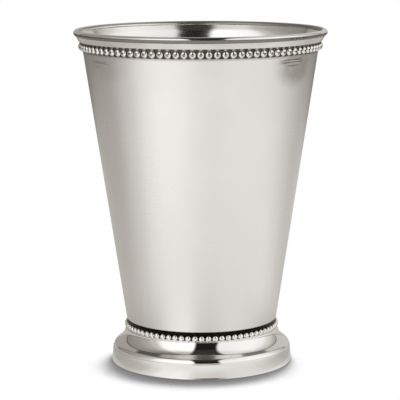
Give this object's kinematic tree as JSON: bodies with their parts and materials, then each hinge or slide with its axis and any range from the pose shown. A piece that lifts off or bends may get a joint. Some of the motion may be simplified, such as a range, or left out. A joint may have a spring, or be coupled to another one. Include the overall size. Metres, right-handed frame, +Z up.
{
  "type": "julep cup",
  "caption": "Tapered metal julep cup with a flared, beaded rim and a low, hollow, beaded foot; stands on a flat ring and holds a cold drink.",
  "frame": {"origin": "on the table, under the middle of the foot", "axes": "+Z up along the cup's axis, towards the open mouth; -Y is the front that the picture shows"},
  "size_m": [0.0812, 0.0812, 0.108],
  "materials": {
    "satin_metal": "satin nickel, finely brushed round the cup",
    "polished_metal": "bright polished nickel",
    "beaded_metal": "polished beads with black patina in the recesses",
    "solder": "dull grey solder"
  },
  "bodies": {
    "root": {"beaker": "satin_metal", "rim_collar": "satin_metal", "lip_wire": "polished_metal", "upper_bead_wire": "beaded_metal", "lower_bead_wire": "beaded_metal", "foot_shell": "polished_metal", "plinth_band": "polished_metal", "foot_solder": "solder"}
  },
  "joints": []
}
